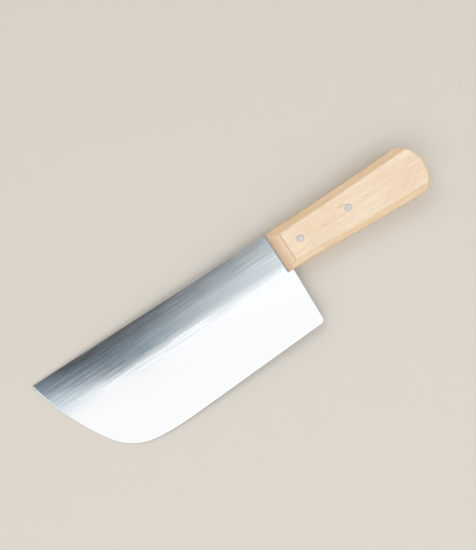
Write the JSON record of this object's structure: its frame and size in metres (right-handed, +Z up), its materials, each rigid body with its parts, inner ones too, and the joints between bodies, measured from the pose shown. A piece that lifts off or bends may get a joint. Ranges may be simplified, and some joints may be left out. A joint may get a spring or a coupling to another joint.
{
  "type": "chinese cleaver",
  "caption": "Wide thin cleaver with a straight spine, an edge that curves up to the tip, a tang let into a chamfered wooden handle, and flush pins.",
  "frame": {"origin": "centre of the bounding box on its underside, where the table that the knife lies on touches it", "axes": "+X runs from the tip to the butt of the handle, +Y from the cutting edge to the spine, +Z up from the table"},
  "size_m": [0.3232, 0.0824, 0.0258],
  "materials": {
    "blade_steel": "satin, brushed along the spine",
    "handle_wood": "pale fine-grained hardwood, sanded, unvarnished",
    "pin_metal": "peened and sanded flush with the wood"
  },
  "bodies": {
    "root": {"blade": "blade_steel", "handle": "handle_wood", "front_pin": "pin_metal", "rear_pin": "pin_metal"}
  },
  "joints": []
}
